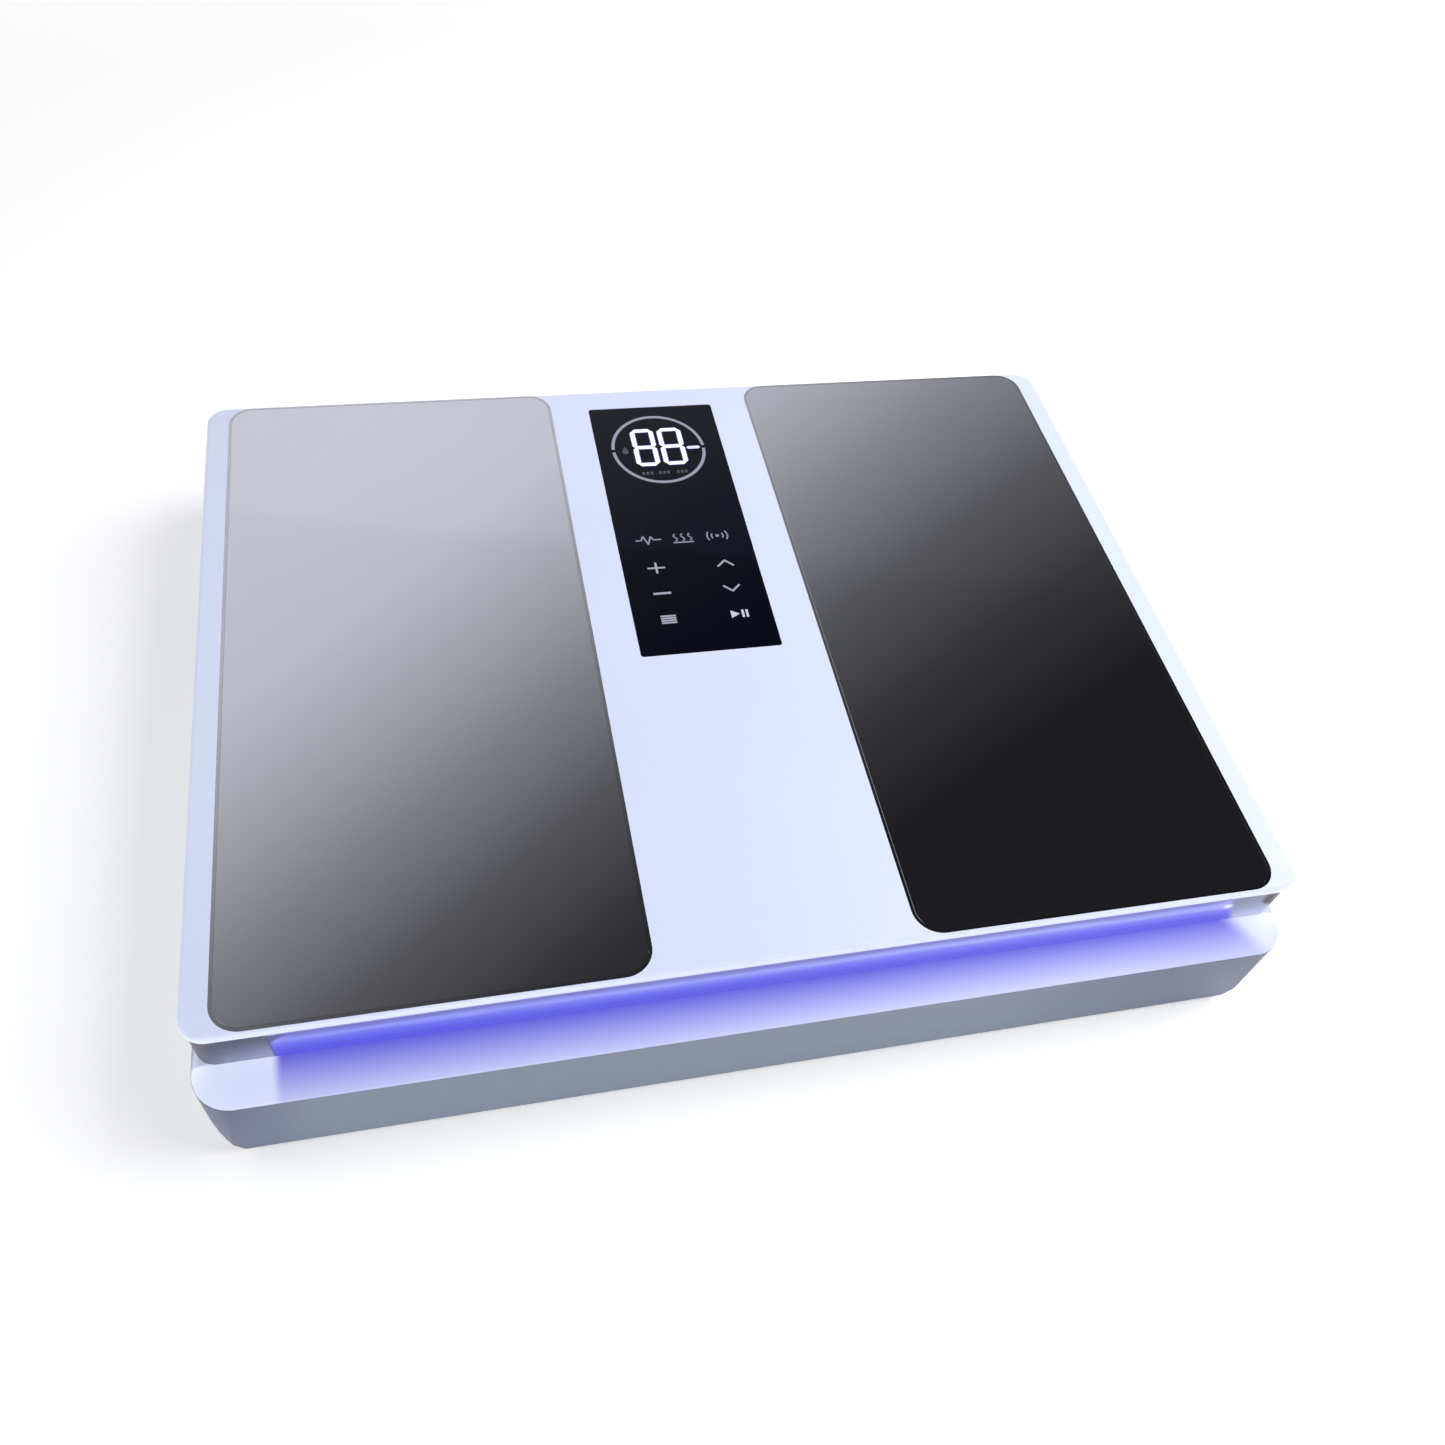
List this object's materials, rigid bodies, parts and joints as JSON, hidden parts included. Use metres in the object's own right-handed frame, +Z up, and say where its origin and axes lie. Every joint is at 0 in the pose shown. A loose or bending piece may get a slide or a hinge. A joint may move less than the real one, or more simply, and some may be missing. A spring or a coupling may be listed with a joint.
{
  "type": "heated foot therapy platform",
  "caption": "Low rectangular electric foot platform with two dark mirror-glass foot plates, a touch display between them at the rear and a lit band under the front edge.",
  "frame": {"origin": "on the floor under the centre of the case", "axes": "+Z up, +X to the right of a person standing in front, -Y towards the lit front edge"},
  "size_m": [0.4234, 0.3514, 0.074],
  "materials": {
    "case_white": "satin moulded white",
    "frame_plastic": "satin moulded plastic, lavender grey",
    "mirror_glass": "polished toughened glass with a dark mirror coating",
    "gasket_black": "soft black seal",
    "seal_gloss": "glossy dark seal round the glass",
    "heater_film": "amber film with printed tracks",
    "foam_grey": "felt and foam insulation",
    "copper_wire": "enamelled copper winding",
    "steel_bright": "zinc-plated steel",
    "inner_black": "matt black moulding",
    "lens_glass": "polished black display glass",
    "board_green": "circuit board with solder mask",
    "board_white": "white LED board",
    "diffuser_white": "translucent white",
    "light_diffuser": "translucent diffuser lit violet-blue",
    "chip_black": "moulded component",
    "connector_ivory": "ivory header",
    "sink_aluminium": "extruded, plain",
    "ferrite": "ferrite core",
    "can_sleeve": "shrink sleeve",
    "label_blank": "blank silver film",
    "foot_rubber": "grey-black rubber",
    "switch_black": "moulded black, light texture",
    "rocker_black": "moulded black, satin",
    "brass_blade": "tinned brass",
    "ribbon_white": "flat flexible cable",
    "lead_red": "PVC insulation",
    "lead_black": "PVC insulation"
  },
  "bodies": {
    "case": {"base_tray": "case_white", "board_link": "lead_black", "buzzer": "chip_black", "case_screws": "steel_bright", "control_board": "board_green", "control_chips": "chip_black", "control_connectors": "connector_ivory", "dc_inlet": "switch_black", "digit_module": "inner_black", "display_board": "board_green", "display_lens": "lens_glass", "display_ribbon": "ribbon_white", "driver_board": "board_green", "driver_capacitors": "can_sleeve", "driver_connectors": "connector_ivory", "foot_front_left": "foot_rubber", "foot_front_right": "foot_rubber", "foot_plate_left": "mirror_glass", "foot_plate_right": "mirror_glass", "foot_rear_left": "foot_rubber", "foot_rear_right": "foot_rubber", "heat_sink": "sink_aluminium", "heater_film_left": "heater_film", "heater_film_right": "heater_film", "heater_tray_left": "inner_black", "heater_tray_right": "inner_black", "inlet_lead": "lead_red", "inlet_nut": "steel_bright", "insulation_pad_left": "foam_grey", "insulation_pad_right": "foam_grey", "led_lead": "lead_black", "led_strip_board": "board_white", "lens_tape": "gasket_black", "light_bar": "light_diffuser", "light_shield": "inner_black", "mid_frame": "frame_plastic", "mode_lights": "diffuser_white", "plate_gasket_left": "seal_gloss", "plate_gasket_right": "seal_gloss", "plate_leads_left": "lead_black", "plate_leads_right": "lead_black", "port_terminals": "brass_blade", "pulse_coil_left": "copper_wire", "pulse_coil_right": "copper_wire", "pulse_transformer": "ferrite", "rating_plate": "label_blank", "ring_light_guide": "diffuser_white", "short_screws": "steel_bright", "small_screws": "steel_bright", "strip_leds": "diffuser_white", "switch_housing": "switch_black", "switch_lead": "lead_red", "thermal_cutout_left": "steel_bright", "thermal_cutout_right": "steel_bright", "top_cover": "case_white", "touch_pads": "gasket_black", "transformer_winding": "copper_wire"},
    "power_rocker": {"switch_rocker": "rocker_black"}
  },
  "joints": [
    {"name": "power_rocker_pivot", "type": "hinge", "parent": "case", "child": "power_rocker", "pos_m": [0.02, 0.1645, 0.026], "axis": [0, 0, -1], "range_deg": [0, 18]}
  ]
}
